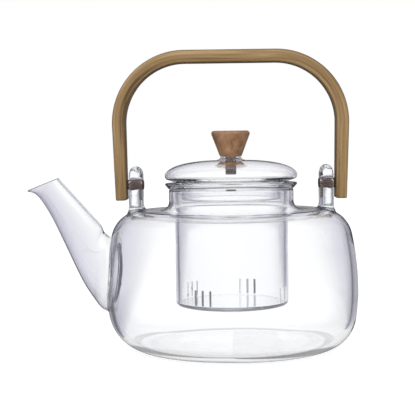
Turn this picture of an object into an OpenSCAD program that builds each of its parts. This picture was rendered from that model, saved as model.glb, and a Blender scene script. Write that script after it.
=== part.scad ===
// Glass teapot with a hanging glass infuser, a lifting glass lid and a bent bamboo bail handle.
// Millimetres, +Z up. The origin is the centre of the pot's base and the spout points along -X.

/* [Pot] */
// Radius of the pot at its widest
pot_r = 70; // [62:0.5:90]
// Height of the widest ring above the base
belly_z = 32; // [28:0.5:38]
// Height of the flat shoulder above the base
shoulder_z = 80.8; // [74:0.1:100]
// Radius of the rounding between base and side
foot_round = 23.8; // [16:0.1:26]
// Radius of the side below the widest ring
belly_low_round = 56; // [45:1:70]
// Radius of the side above the widest ring
belly_high_round = 131; // [110:1:160]
// Radius of the rounding between side and shoulder
shoulder_round = 22; // [14:0.5:24]
// Thickness of the blown glass walls
glass_wall = 2; // [1.5:0.1:2.6]
// Thickness of the pot's floor
floor_t = 2.8; // [2:0.1:4]

/* [Neck] */
// Outer radius of the neck
neck_r = 34.6; // [31:0.1:38]
// Height of the neck's rim above the shoulder
neck_h = 8.5; // [8:0.1:12]
// Radius of the hollow rounding between shoulder and neck
neck_round = 6.5; // [4:0.1:7.5]

/* [Spout] */
// How far the lip reaches past the widest ring
spout_reach = 43.6; // [36:0.2:50]
// Height at which the spout's underside leaves the pot
spout_low_z = 22; // [20:0.5:24]
// Height of the back edge of the mouth above the neck's rim
spout_over = 6.1; // [0:0.1:12]
// Half the width of the spout where it is welded on
spout_root_w = 18.5; // [18:0.1:20]
// Half the width of the mouth
spout_mouth_w = 7.4; // [6:0.1:8]
// Thickness of the spout's glass
spout_wall = 1.8; // [1.2:0.1:2.2]
// Radius of the hole through the pot's wall into the spout
spout_hole_r = 16.2; // [14:0.1:16.4]

/* [Ears] */
// Distance of each ear inwards from the pot's widest ring
ear_inset = 17.2; // [15:0.1:19]
// Radius of the glass rod that the ears are bent from
ear_rod_r = 3.7; // [3:0.1:4]
// Height of the crown of the ear above the shoulder
ear_h = 21.5; // [20:0.1:26]
// Radius of the weld at the foot of each ear leg
ear_weld_r = 5.5; // [5:0.1:6]
// Height of the weld at the foot of each ear leg
ear_weld_h = 2; // [1:0.1:3]

/* [Infuser] */
// Depth of the infuser below the neck's rim
infuser_depth = 64.7; // [45:0.1:68]
// Radius of the rounding at the infuser's bottom edge
infuser_round = 3.4; // [2.7:0.1:6]
// Thickness of the flange that hangs on the neck
flange_t = 3.1; // [2.4:0.1:4]
// How far the flange reaches past the neck
flange_over = 2.1; // [1:0.1:4]
// Width of one strainer slit
slit_w = 1; // [0.6:0.1:1.6]
// Height of one strainer slit
slit_h = 9; // [6:0.5:20]
// Height of the slits above the infuser's underside
slit_lift = 3.6; // [3.4:0.1:8]
// Angle between the slits of one group
slit_step = 8.6; // [6:0.1:12]
// Slits in one group
slit_count = 3; // [2:1:4]

/* [Lid] */
// How far the lid's edge reaches past the infuser's flange
lid_over = 0.1; // [0:0.1:2]
// Height of the dome above the lid's seat
lid_dome_h = 12.4; // [11.5:0.1:16]
// Height of the lid's widest ring above its seat
lid_edge_h = 3.9; // [3.4:0.1:4.2]
// Radius of the upper half of the rolled edge
lid_edge_round = 4.1; // [3.6:0.1:4.6]
// Radius of the lower half of the rolled edge
lid_fold_round = 2.2; // [2:0.1:2.6]
// Length of the skirt below the lid's seat
skirt_h = 9.4; // [6:0.1:16]
// Radius of the glass collar under the knob
collar_r = 5.8; // [5.2:0.1:6.1]
// Height of the glass collar above the dome
collar_h = 2; // [1:0.1:3]

/* [Knob] */
// Radius of the top of the wooden knob
knob_top_r = 10.75; // [8:0.05:13]
// Radius of the foot of the wooden knob
knob_foot_r = 6.15; // [6.1:0.05:7.5]
// Height of the wooden knob
knob_h = 14.3; // [10:0.1:18]
// Radius of the rounding of the knob's top edge
knob_round = 1.6; // [0.5:0.1:2.5]
// Radius of the soft plug that holds the knob in the lid
plug_r = 3.1; // [2.6:0.1:3.4]
// Length of the plug below the knob
plug_h = 6.6; // [6:0.1:7]
// Radius of the plug's stem inside the knob
plug_stem_r = 1.4; // [1:0.1:2]
// Length of the plug's stem inside the knob
plug_stem_h = 6; // [3:0.5:8]
// Height of each of the two beads at the plug's lower end
bead_h = 1.1; // [0.8:0.1:1.2]

/* [Handle] */
// Height of the top of the bow above the pins
bow_rise = 74; // [66:0.5:95]
// Length of the bow's legs below the pins
bow_drop = 8.4; // [7:0.1:9]
// Thickness of the bow at its top
bow_t = 7; // [6:0.1:7.4]
// Thickness of the bow at the ends of its legs
bow_end_t = 6.1; // [5:0.1:6.4]
// Width of the bamboo strip
bow_w = 16; // [12:0.5:17]
// Outer radius of the two bends
bow_round = 40.1; // [32:0.1:46]
// Lean of the legs towards the pot, in degrees
bow_lean = 1.4; // [0:0.1:2]
// Radius of the strip's rounded edges
bow_edge = 2; // [1:0.1:2.4]
// Radius of the wooden pins
pin_r = 2.8; // [2.4:0.1:3]
// How far the pins reach past the ears
pin_over = 0.7; // [0.3:0.1:2]

/* [Fits] */
// Gap between the infuser's wall and the inside of the neck
neck_gap = 1.2; // [0.8:0.1:3]
// Gap between the lid's skirt and the infuser's wall
skirt_gap = 1.6; // [0.8:0.1:3]
// Gap between glass pieces that rest on each other
seat_gap = 0.2; // [0.1:0.05:0.4]
// Gap between an ear and the leg of the bow beside it
bow_gap = 1.3; // [0.8:0.1:4]
// Gap between a pin and the crown of its ear
crown_gap = 0.05; // [0.02:0.01:0.1]
// Gap between the eye of an ear and its pin on each side
eye_gap = 0.6; // [0.4:0.1:1.5]
// Glue gap round a pin, a plug or a stem
glue_gap = 0.05; // [0.02:0.01:0.1]

/* [Hidden] */
$fn = 96;
// Directions of the middles of the slit groups, from the front, turning towards +X
slit_group_angles = [-31, 65, 163, -127];
// The spout's outline at nine places, as shares: how far the underside lies out and up, how far the
// top side lies out and up, and how wide it is. Out counts from the pot to the lip, up counts from
// the underside's foot to the mouth, and the width runs from 0 at the mouth to 1 at the weld.
spout_shares = [
    [-0.180, -0.030, -0.275, 0.550, 1.08],
    [0.035, 0.005, -0.070, 0.553, 1.00],
    [0.167, 0.093, 0.023, 0.589, 0.68],
    [0.321, 0.240, 0.073, 0.648, 0.48],
    [0.516, 0.488, 0.218, 0.747, 0.30],
    [0.679, 0.693, 0.390, 0.864, 0.14],
    [0.810, 0.824, 0.518, 0.948, 0.05],
    [0.901, 0.886, 0.571, 0.984, 0.01],
    [1.000, 0.907, 0.596, 1.000, 0.00]];
// Steps in one arc of a turned outline, in a small arc, and in a quarter of the strip's rounded edge
arc_steps = 10;
small_steps = 5;
edge_steps = 3;
// Sides of the spout's rings, rings in one span of its outline, and rings round its lip
spout_sides = 32;
spout_span_rings = 3;
lip_rings = 4;
// Stations in one bend and in one leg of the bow, and angles of the rounding at its ends
bend_steps = 14;
leg_steps = 4;
bow_end_angles = [40, 70, 90];
// How much a bow's end narrows for each millimetre of its rounding
bow_end_taper = 0.6;
// Width of the flat seat between the lid's skirt and its rolled edge
lid_seat_w = 2.4;
// Angles at which the rolled edge leaves the seat and meets the dome
fold_start = -80;
roll_start = 15;
roll_end = 80;
// Thickness of the glass in the fold of the rolled edge
fold_wall = 1.4;
// How far the foot of the collar flares into the dome
collar_flare = 1.8;
// Slope of the knob's side at its top edge, in degrees
knob_slope = 10;
// Bevels on the foot of the knob, the edge of the skirt and the tip of a pin
knob_bevel = 0.3;
skirt_bevel = 0.5;
pin_bevel = 0.5;
// Waist of the plug between its beads and its neck
plug_waist = 0.3;
// Depth of a pin's outer end below the outer face of the bow
pin_sink = 0.3;
// How far a cut passes the faces that it cuts
cut_room = 1;

rim_z = shoulder_z + neck_h;
spout_top_z = rim_z + spout_over;
flange_z = rim_z + seat_gap;
flange_top_z = flange_z + flange_t;
flange_r = neck_r + flange_over;
infuser_r = neck_r - glass_wall - neck_gap;
infuser_in_r = infuser_r - glass_wall;
infuser_z = rim_z - infuser_depth;
lid_seat_z = flange_top_z + seat_gap;
lid_r = flange_r + lid_over;
skirt_r = infuser_in_r - skirt_gap;
dome_z = lid_seat_z + lid_dome_h;
collar_z = dome_z + collar_h;
ear_x = pot_r - ear_inset;
ear_top_z = shoulder_z + ear_h;
eye_r = pin_r + eye_gap;
ear_bend_r = eye_r + ear_rod_r;
ear_bend_z = ear_top_z - ear_bend_r - ear_rod_r;
pin_z = ear_bend_z + eye_r - pin_r - crown_gap;

// Points on an arc round (x, z), from angle a0 to angle a1
function arc(x, z, r, a0, a1, steps = arc_steps) =
    [for (i = [0:steps]) let (a = a0 + (a1 - a0) * i / steps) [x + r * cos(a), z + r * sin(a)]];

function flip(points) = [for (i = [len(points) - 1:-1:0]) points[i]];

// Half outline of the pot, from the middle of its floor to its neck, moved inwards by the inset
function pot_outline(inset, floor_z) =
    let (foot_r = foot_round - inset, low_r = belly_low_round - inset)
    let (high_r = belly_high_round - inset, top_r = shoulder_round - inset)
    let (low_x = pot_r - belly_low_round, high_x = pot_r - belly_high_round)
    let (foot_z = floor_z + foot_r, top_z = shoulder_z - shoulder_round)
    let (foot_x = low_x + sqrt(pow(low_r - foot_r, 2) - pow(belly_z - foot_z, 2)))
    let (top_x = high_x + sqrt(pow(high_r - top_r, 2) - pow(top_z - belly_z, 2)))
    let (low_a = atan2(foot_z - belly_z, foot_x - low_x))
    let (high_a = atan2(top_z - belly_z, top_x - high_x))
    let (neck_x = neck_r + neck_round, neck_z = shoulder_z + neck_round)
    concat(
        [[0, floor_z]],
        arc(foot_x, foot_z, foot_r, -90, low_a),
        arc(low_x, belly_z, low_r, low_a * (1 - 1 / arc_steps), 0),
        arc(high_x, belly_z, high_r, high_a / arc_steps, high_a),
        arc(top_x, top_z, top_r, high_a + (90 - high_a) / arc_steps, 90),
        arc(neck_x, neck_z, neck_round + inset, -90, -180));

// The pot as a solid block, which also cuts the feet of the spout and the ears to their seats
module pot_block() {
    rotate_extrude()
        polygon(concat(pot_outline(0, 0), [[neck_r, rim_z], [0, rim_z]]));
}

// Blown body with a fire-polished rim and a hole behind the spout
module pot_shell() {
    rim_round = glass_wall / 2;
    color([0.86, 0.92, 0.91, 0.35])
        difference() {
            rotate_extrude()
                polygon(concat(
                    pot_outline(0, 0),
                    arc(neck_r - rim_round, rim_z - rim_round, rim_round, 0, 180, small_steps),
                    flip(pot_outline(glass_wall, floor_t))));
            translate([-pot_r + 2 * shoulder_round, 0, spout_root_z])
                rotate([0, -90, 0])
                    cylinder(r = spout_hole_r, h = 2 * shoulder_round);
        }
}

// Values between two stations, on a smooth curve through all of them
function blend(a, b, c, d, t) =
    0.5 * (2 * b + (c - a) * t + (2 * a - 5 * b + 4 * c - d) * pow(t, 2)
        + (3 * b - a - 3 * c + d) * pow(t, 3));

function station(i) = spout_shares[min(max(i, 0), len(spout_shares) - 1)];

function spout_at(k) =
    let (i = floor(k / spout_span_rings), t = k / spout_span_rings - i)
    blend(station(i - 1), station(i), station(i + 1), station(i + 2), t);

function spout_point(out, up) =
    [-pot_r - out * spout_reach, 0, spout_low_z + up * (spout_top_z - spout_low_z)];

// One ring of the spout: an ellipse between its underside and its top side, pushed out along the tube
function spout_ring(k, inset, push = 0) =
    let (s = spout_at(k), low = spout_point(s[0], s[1]), high = spout_point(s[2], s[3]))
    let (middle = (low + high) / 2, up = (high - low) / norm(high - low))
    let (ahead = [-up[2], 0, up[0]])
    let (half_h = norm(high - low) / 2 - inset)
    let (half_w = spout_mouth_w + (spout_root_w - spout_mouth_w) * s[4] - inset)
    [for (i = [0:spout_sides - 1]) let (a = 360 * i / spout_sides)
        middle + push * ahead + half_h * cos(a) * up + half_w * sin(a) * [0, 1, 0]];

spout_last = spout_span_rings * (len(spout_shares) - 1);
spout_root_z = spout_point(0, (spout_shares[1][1] + spout_shares[1][3]) / 2)[2];

// Triangles between two rings of points, which begin at the given numbers
function band(first, second, sides) =
    [for (i = [0:sides - 1]) let (j = (i + 1) % sides)
        each [[first + i, second + i, first + j], [first + j, second + i, second + j]]];

// Rings up the outside, round the rolled lip and down the inside, closed at the weld
module spout_tube() {
    lip_round = spout_wall / 2;
    rings = [
        for (k = [0:spout_last]) spout_ring(k, 0),
        for (i = [1:lip_rings - 1]) let (a = 180 * i / lip_rings)
            spout_ring(spout_last, lip_round * (1 - cos(a)), lip_round * sin(a)),
        for (k = [spout_last:-1:0]) spout_ring(k, spout_wall)];
    count = len(rings);
    polyhedron(
        [for (ring = rings) each ring],
        [for (k = [0:count - 1]) each band(k * spout_sides, (k + 1) % count * spout_sides, spout_sides)]);
}

module spout() {
    color([0.86, 0.92, 0.91, 0.35])
        difference() {
            spout_tube();
            pot_block();
        }
}

// Slope of the shoulder under an ear, which its welds lie square to
shoulder_x = pot_r - belly_high_round
    + sqrt(pow(belly_high_round - shoulder_round, 2)
        - pow(shoulder_z - shoulder_round - belly_z, 2));
ear_slope = asin((norm([ear_x, ear_bend_r]) - shoulder_x) / shoulder_round);
ear_foot_z = shoulder_z - shoulder_round * (1 - cos(ear_slope));

// A glass rod bent to a loop, with both feet melted onto the shoulder
module ear(side) {
    color([0.86, 0.92, 0.91, 0.35])
        difference() {
            translate([side * ear_x, 0, 0]) {
                translate([0, 0, ear_bend_z])
                    rotate([90, 0, 90])
                        rotate_extrude(angle = 180)
                            translate([ear_bend_r, 0])
                                circle(r = ear_rod_r);
                for (y = [-ear_bend_r, ear_bend_r]) {
                    translate([0, y, ear_foot_z - ear_weld_h])
                        cylinder(r = ear_rod_r, h = ear_bend_z - ear_foot_z + ear_weld_h);
                    translate([0, y, ear_foot_z])
                        rotate([0, side * ear_slope, 0])
                            translate([0, 0, -ear_weld_h])
                                cylinder(r1 = ear_weld_r, r2 = ear_rod_r, h = 2 * ear_weld_h);
                }
            }
            pot_block();
        }
}

module ear_left() {
    ear(-1);
}

module ear_right() {
    ear(1);
}

// A cup that hangs in the neck by its flange, with groups of slits low in its wall
module infuser() {
    inner_round = infuser_round - glass_wall;
    lip = glass_wall / 2;
    flange_round = flange_t / 3;
    color([0.86, 0.92, 0.91, 0.35])
        difference() {
            rotate_extrude()
                polygon(concat(
                    [[0, infuser_z]],
                    arc(infuser_r - infuser_round, infuser_z + infuser_round, infuser_round,
                        -90, 0, small_steps),
                    [[infuser_r, flange_z], [neck_r, flange_z]],
                    [[flange_r, flange_top_z - flange_round]],
                    arc(flange_r - flange_over, flange_top_z - flange_round, flange_round, 60, 90, 2),
                    arc(infuser_in_r + lip, flange_top_z - lip, lip, 90, 180, small_steps),
                    arc(infuser_in_r - inner_round, infuser_z + infuser_round, inner_round,
                        0, -90, small_steps),
                    [[0, infuser_z + glass_wall]]));
            for (group = slit_group_angles)
                for (i = [0:slit_count - 1])
                    rotate([0, 0, group - 90 + (i - (slit_count - 1) / 2) * slit_step])
                        translate([infuser_in_r - cut_room, -slit_w / 2, infuser_z + slit_lift])
                            cube([glass_wall + 2 * cut_room, slit_w, slit_h]);
        }
}

// Height of the widest ring of the lid, and of its domed top at a radius
edge_z = lid_seat_z + lid_edge_h;
edge_x = lid_r - lid_edge_round;
dome_round = pow(edge_x, 2) / (2 * (dome_z - edge_z - lid_edge_round));
function dome_at(r) = dome_z - r * r / (2 * dome_round);

// Points on the dome from one radius in to another
function dome_line(from_r, to_r, below) =
    [for (i = [0:arc_steps]) let (r = from_r + (to_r - from_r) * i / arc_steps) [r, dome_at(r) - below]];

module lid_glass() {
    seat_r = skirt_r + lid_seat_w;
    fold_x = lid_r - lid_fold_round;
    hole_r = plug_r + glue_gap;
    skirt_z = lid_seat_z - skirt_h;
    outer = concat(
        [[skirt_r - skirt_bevel, skirt_z], [skirt_r, skirt_z + skirt_bevel]],
        [[skirt_r, lid_seat_z], [seat_r, lid_seat_z]],
        arc(fold_x, edge_z, lid_fold_round, fold_start, 0, small_steps),
        arc(edge_x, edge_z, lid_edge_round, roll_start, roll_end, small_steps),
        dome_line(edge_x, collar_r + collar_flare, 0),
        [[collar_r, collar_z], [hole_r, collar_z]]);
    inner = concat(
        [[skirt_r - glass_wall, skirt_z]],
        [[skirt_r - glass_wall, lid_seat_z + glass_wall], [seat_r, lid_seat_z + glass_wall]],
        arc(fold_x, edge_z, lid_fold_round - fold_wall, fold_start, 0, 2),
        arc(edge_x, edge_z, lid_edge_round - glass_wall, roll_start, roll_end, small_steps),
        dome_line(edge_x, hole_r, glass_wall));
    color([0.86, 0.92, 0.91, 0.35])
        rotate_extrude()
            polygon(concat(outer, flip(inner)));
}

module lid_knob() {
    color([0.55, 0.36, 0.23])
        difference() {
            rotate_extrude()
                polygon(concat(
                    [[0, collar_z], [knob_foot_r - knob_bevel, collar_z]],
                    [[knob_foot_r, collar_z + knob_bevel]],
                    arc(knob_top_r - knob_round, collar_z + knob_h - knob_round, knob_round,
                        -knob_slope, 90, small_steps),
                    [[0, collar_z + knob_h]]));
            translate([0, 0, collar_z - cut_room])
                cylinder(r = plug_stem_r + glue_gap, h = plug_stem_h + cut_room + glue_gap);
        }
}

// A soft stopper with two beads below, glued through the lid and into the knob by its stem
module knob_plug() {
    bead_r = bead_h / 2;
    plug_z = collar_z - plug_h;
    color([0.42, 0.37, 0.34])
        union() {
            translate([0, 0, collar_z])
                cylinder(r = plug_stem_r, h = plug_stem_h);
            rotate_extrude()
                polygon(concat(
                    [[0, plug_z]],
                    arc(plug_r - bead_r, plug_z + bead_r, bead_r, -90, 60, small_steps),
                    arc(plug_r - bead_r, plug_z + 3 * bead_r, bead_r, -60, 60, small_steps),
                    [[plug_r - plug_waist, plug_z + 2 * bead_h], [plug_r, plug_z + 2 * bead_h + plug_waist]],
                    [[plug_r, collar_z], [0, collar_z]]));
        }
}

// The bow's bend starts where its leg ends, and the leg passes its ear with the bow's gap
bow_top_z = pin_z + bow_rise;
bow_end_z = pin_z - bow_drop;
bow_bend_z = bow_top_z - bow_round;
bow_mid_round = bow_round - bow_t / 2;
bow_leg_z = bow_bend_z - bow_mid_round * sin(bow_lean);
function bow_t_at(z) = bow_t + (bow_end_t - bow_t) * (bow_leg_z - z) / (bow_leg_z - bow_end_z);
bow_leg_x = ear_x + ear_rod_r + bow_gap + bow_t_at(pin_z) / 2 + (bow_leg_z - pin_z) * tan(bow_lean);
bow_bend_x = bow_leg_x - bow_mid_round * cos(bow_lean);
bow_half_w = bow_bend_x + bow_round;

// Centre line of half the bow, from the middle of its top to the end of its right leg:
// x, z, direction of the outside in degrees, thickness, and how much the end is rounded off
function leg_station(z, trim) =
    [bow_leg_x - (bow_leg_z - z) * tan(bow_lean), z, -bow_lean, bow_t_at(z), trim];

bow_half = concat(
    [[bow_bend_x / 3, bow_top_z - bow_t / 2, 90, bow_t, 0]],
    [for (i = [0:bend_steps]) let (a = 90 - (90 + bow_lean) * i / bend_steps)
        [bow_bend_x + bow_mid_round * cos(a), bow_bend_z + bow_mid_round * sin(a), a, bow_t, 0]],
    [for (i = [1:leg_steps])
        leg_station(bow_leg_z + (bow_end_z + bow_edge - bow_leg_z) * i / leg_steps, 0)],
    [for (a = bow_end_angles)
        leg_station(bow_end_z + bow_edge * (1 - sin(a)), bow_end_taper * bow_edge * (1 - cos(a)))]);
bow_line = concat(
    [for (s = flip(bow_half)) [-s[0], s[1], 180 - s[2], s[3], s[4]]],
    bow_half);

// Cross-section of the strip with rounded edges: first across its thickness, then across its width
function strip_section(t, w, edge) =
    [for (q = [0:3], i = [0:edge_steps])
        let (a = 90 * q + 90 * i / edge_steps)
        let (sx = (q == 0 || q == 3) ? 1 : -1, sy = q < 2 ? 1 : -1)
        [sx * (t / 2 - edge) + edge * cos(a), sy * (w / 2 - edge) + edge * sin(a)]];

function bow_ring(s) =
    [for (p = strip_section(s[3] - 2 * s[4], bow_w - 2 * s[4], bow_edge))
        [s[0] + p[0] * cos(s[2]), p[1], s[1] + p[0] * sin(s[2])]];

module handle_bow() {
    sides = 4 * (edge_steps + 1);
    last = (len(bow_line) - 1) * sides;
    color([0.66, 0.53, 0.33])
        difference() {
            polyhedron(
                [for (s = bow_line) each bow_ring(s)],
                [[for (i = [0:sides - 1]) i],
                    for (k = [0:len(bow_line) - 2]) each band((k + 1) * sides, k * sides, sides),
                    [for (i = [sides - 1:-1:0]) last + i]]);
            translate([-bow_half_w - cut_room, 0, pin_z])
                rotate([0, 90, 0])
                    cylinder(r = pin_r + glue_gap, h = 2 * (bow_half_w + cut_room));
        }
}

// A pin runs from just inside the bow's outer face, through its leg and the ear's eye
pin_out_x = leg_station(pin_z, 0)[0] + bow_t_at(pin_z) / 2 - pin_sink;
pin_in_x = ear_x - ear_rod_r - pin_over;
module pin(side) {
    length = pin_out_x - pin_in_x;
    color([0.45, 0.27, 0.17])
        translate([side * pin_in_x, 0, pin_z])
            rotate([0, side * 90, 0])
                rotate_extrude()
                    polygon([[0, 0], [pin_r - pin_bevel, 0], [pin_r, pin_bevel],
                        [pin_r, length], [0, length]]);
}

module pin_left() {
    pin(-1);
}

module pin_right() {
    pin(1);
}

pot_shell();
spout();
ear_left();
ear_right();
infuser();
lid_glass();
lid_knob();
knob_plug();
handle_bow();
pin_left();
pin_right();
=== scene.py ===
"""Looks of the glass teapot: clear blown glass, a bent bamboo bow and a turned wooden knob.

Z is up, the spout points to -X and the camera stands at -Y. Sizes are in metres and angles in
degrees, where no comment says otherwise.
"""

import math

import bmesh
import bpy
from mathutils import Matrix, Vector


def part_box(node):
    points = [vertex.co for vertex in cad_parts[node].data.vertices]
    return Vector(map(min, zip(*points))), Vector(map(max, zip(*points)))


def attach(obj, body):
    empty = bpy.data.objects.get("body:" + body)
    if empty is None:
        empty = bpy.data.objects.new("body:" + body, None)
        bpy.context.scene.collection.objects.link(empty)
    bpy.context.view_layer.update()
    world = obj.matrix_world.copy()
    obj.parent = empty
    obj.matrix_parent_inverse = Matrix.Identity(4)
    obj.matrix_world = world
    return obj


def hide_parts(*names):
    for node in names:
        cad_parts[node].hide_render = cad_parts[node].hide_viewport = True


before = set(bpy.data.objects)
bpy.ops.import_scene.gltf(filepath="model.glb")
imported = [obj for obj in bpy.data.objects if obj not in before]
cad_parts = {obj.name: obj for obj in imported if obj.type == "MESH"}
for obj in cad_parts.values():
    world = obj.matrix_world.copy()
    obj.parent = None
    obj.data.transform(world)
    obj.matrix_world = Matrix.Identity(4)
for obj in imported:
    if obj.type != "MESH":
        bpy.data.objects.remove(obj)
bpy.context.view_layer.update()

MM = 0.001


# ---------------------------------------------------------------- sizes, worked out from the frame

POT_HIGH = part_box("pot_shell")[1]
SPOUT_LOW, SPOUT_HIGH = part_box("spout")
EAR_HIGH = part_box("ear_right")[1]
CUP_LOW, CUP_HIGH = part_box("infuser")
LID_LOW, LID_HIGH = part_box("lid_glass")
KNOB_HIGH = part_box("lid_knob")[1]
PLUG_LOW, PLUG_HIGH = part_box("knob_plug")
BOW_LOW, BOW_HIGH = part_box("handle_bow")
PIN_LOW, PIN_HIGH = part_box("pin_right")

GLASS_WALL = 2 * MM
# The gap under what rests on a rim: the infuser on the neck, and the lid on the infuser
SEAT_GAP = 0.2 * MM

# The pot: five arcs, from its foot over its widest ring and its shoulder to its neck
POT_R = POT_HIGH.x
RIM_Z = POT_HIGH.z
BELLY_Z = 32 * MM
NECK_H = 11.6 * MM
SHOULDER_Z = RIM_Z - NECK_H
FOOT_ROUND = 23.8 * MM
BELLY_LOW_ROUND = 56 * MM
BELLY_HIGH_ROUND = 160 * MM
SHOULDER_ROUND = 17 * MM
FLANGE_OVERHANG = 2.1 * MM
NECK_R = CUP_HIGH.x - FLANGE_OVERHANG
NECK_ROUND = 5 * MM
# The lower corner away from the spout is a little fuller than the rest: below a height, by so much
FULLER_Z = 26 * MM
FULLER_BY = 4 * MM
FULLER_FADE = 1.5
FOOT_RINGS = 12
# Blown glass is thicker where it gathers: (height, wall), in millimetres
POT_WALLS = [(0, 2.8), (8, 3.0), (30, 3.3), (60, 3.2), (76, 2.6), (84, 2.0), (90, 2.0)]

# The spout. Its lip stays a little inside the part's box
LIP_ROOM = 0.06 * MM
SPOUT_REACH = -SPOUT_LOW.x - POT_R - LIP_ROOM
SPOUT_TOP_Z = SPOUT_HIGH.z
SPOUT_LOW_Z = 22 * MM
SPOUT_ROOT_W = 18.5 * MM
SPOUT_MOUTH_W = 7.4 * MM
SPOUT_WALL = 1 * MM
SPOUT_HOLE_R = 16.2 * MM
# Its stations, in shares of its reach and its rise: low side out and up, high side out and up,
# and how much of the root's extra width is left
SPOUT_SHARES = [
    (-0.180, -0.030, -0.275, 0.550, 1.08),
    (0.035, 0.005, -0.070, 0.553, 1.00),
    (0.167, 0.093, 0.023, 0.589, 0.68),
    (0.321, 0.240, 0.073, 0.648, 0.48),
    (0.516, 0.488, 0.218, 0.747, 0.30),
    (0.679, 0.693, 0.390, 0.864, 0.14),
    (0.810, 0.824, 0.518, 0.948, 0.05),
    (0.901, 0.886, 0.571, 0.984, 0.01),
    (1.000, 0.907, 0.596, 1.000, 0.00),
]
SPOUT_LAST = len(SPOUT_SHARES) - 1
SPOUT_ROOT_SHARES = SPOUT_SHARES[1]
# It is seated so deep in the pot's wall, before a station, at a place found in so many halvings
SPOUT_SEAT = 0.25 * MM
SPOUT_SEAT_END = 3.0
SEAT_HALVINGS = 30
SPOUT_SIDES = 96
SPOUT_RINGS = 90
LIP_STEPS = 10

# The ears: bent rods round the pins, flared and settled onto the shoulder at their feet
EAR_INSET = 17.2 * MM
EAR_X = POT_R - EAR_INSET
EAR_ROD_R = 3.7 * MM
EAR_TOP_Z = EAR_HIGH.z
PIN_R = (PIN_HIGH.z - PIN_LOW.z) / 2
PIN_Z = (PIN_HIGH.z + PIN_LOW.z) / 2
PIN_LENGTH = PIN_HIGH.x - PIN_LOW.x
PIN_ROUND = 0.9 * MM
PIN_PLAY = 0.6 * MM
EAR_BEND_R = PIN_R + PIN_PLAY + EAR_ROD_R
EAR_BEND_Z = EAR_TOP_Z - EAR_BEND_R - EAR_ROD_R
EAR_WELD_R = 5.5 * MM
EAR_WELD_H = 3.2 * MM
EAR_SETTLE_H = 8 * MM
EAR_SETTLE_FADE = 1.5
EAR_SINK = 0.3 * MM
EAR_SIDES = 40
EAR_LEG_STEPS = 26
EAR_BEND_STEPS = 48

# The infuser: a cup that hangs by a flange with a tapered edge
FLANGE_R = CUP_HIGH.x
FLANGE_TOP_Z = CUP_HIGH.z
FLANGE_EDGE = 0.6 * MM
FLANGE_TAPER = 55
FLANGE_FILLET = 0.8 * MM
CUP_PLAY = 1.2 * MM
CUP_R = NECK_R - GLASS_WALL - CUP_PLAY
CUP_INNER_R = CUP_R - GLASS_WALL
CUP_Z = CUP_LOW.z
CUP_ROUND = 2.4 * MM
CUP_STEPS = 240
SLIT_H = 8.3 * MM
SLIT_LIFT = 2.5 * MM
SLIT_STEP = 8.6
SLITS_IN_GROUP = 3
# The groups of slits: the angle round the cup and the width. The first two groups have ground faces:
# matt, and painted grey as painted shade
SLIT_GROUPS = ((-31, 0.55 * MM), (162.3, 0.8 * MM), (65, 0.25 * MM), (-127, 0.22 * MM))
GROUND_GROUPS = 2

# The lid: a skirt, a seat, a folded edge, a dome and a collar. A fullness of 2 is an ellipse
LID_R = LID_HIGH.x
LID_SEAT_Z = FLANGE_TOP_Z + SEAT_GAP
LID_SEAT_W = 2.4 * MM
LID_EDGE_LIFT = 3.9 * MM
LID_EDGE_Z = LID_SEAT_Z + LID_EDGE_LIFT
LID_FOLD_ROUND = 2.2 * MM
LID_FOLD_START = -80
LID_WALL = 1.4 * MM
LID_FULLNESS = 2.8
DOME_STEPS = 72
COLLAR_Z = LID_HIGH.z
COLLAR_H = 2 * MM
COLLAR_R = 5.8 * MM
COLLAR_FLARE = 1.8 * MM
COLLAR_ARC = (-86, -172)
DOME_Z = COLLAR_Z - COLLAR_H
SKIRT_PLAY = 1.6 * MM
SKIRT_Z = LID_LOW.z
SKIRT_R = CUP_INNER_R - SKIRT_PLAY
SKIRT_INNER_R = SKIRT_R - GLASS_WALL
SKIRT_BEVEL = 0.5 * MM
SKIRT_INNER_BEVEL = 0.4 * MM

# The knob and its plug
KNOB_TOP_R = KNOB_HIGH.x
KNOB_FOOT_R = 6.15 * MM
KNOB_TOP_Z = KNOB_HIGH.z
KNOB_ROUND = 1.6 * MM
KNOB_BEVEL = 0.4 * MM
KNOB_SLOPE = 10
PLUG_R = PLUG_HIGH.x
PLUG_Z = PLUG_LOW.z
PLUG_BEVEL = 0.3 * MM
PLUG_PLAY = 0.05 * MM
BEAD_H = 1.1 * MM

# The bow: a flat top, two round bends, and legs that lean inwards and thin towards their ends
BOW_TOP_Z = BOW_HIGH.z
BOW_END_Z = BOW_LOW.z
BOW_W = BOW_HIGH.y - BOW_LOW.y
BOW_T = 7 * MM
BOW_END_T = 6.1 * MM
BOW_ROUND = 40.1 * MM
BOW_LEAN = 1.4
BOW_EDGE = 1.5 * MM
BOW_END_EDGE = 0.8 * MM
BOW_EDGE_STEPS = 6
BOW_TOP_STEPS = 6
BOW_BEND_STEPS = 60
BOW_LEG_STEPS = 24
BOW_END_ANGLES = (15, 30, 45, 60, 75, 90)


# ---------------------------------------------------------------- outlines and meshes

ON_AXIS = 1e-9


def arc(x, z, r, start, end, steps):
    """Points on an arc round (x, z), from one angle to another."""
    angles = [math.radians(start + (end - start) * i / steps) for i in range(steps + 1)]
    return [(x + r * math.cos(a), z + r * math.sin(a)) for a in angles]


def smooth_object(bm, name, material, sharp=40):
    """An object of the mesh, smooth but for the edges that turn by more than the sharp angle."""
    bmesh.ops.recalc_face_normals(bm, faces=bm.faces)
    for face in bm.faces:
        face.smooth = True
    for edge in bm.edges:
        edge.smooth = len(edge.link_faces) == 2 and edge.calc_face_angle() < math.radians(sharp)
    mesh = bpy.data.meshes.new(name)
    bm.to_mesh(mesh)
    bm.free()
    mesh.materials.append(material)
    made = bpy.data.objects.new(name, mesh)
    bpy.context.scene.collection.objects.link(made)
    normals = made.modifiers.new("normals", "WEIGHTED_NORMAL")
    normals.keep_sharp = True
    return made


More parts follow.
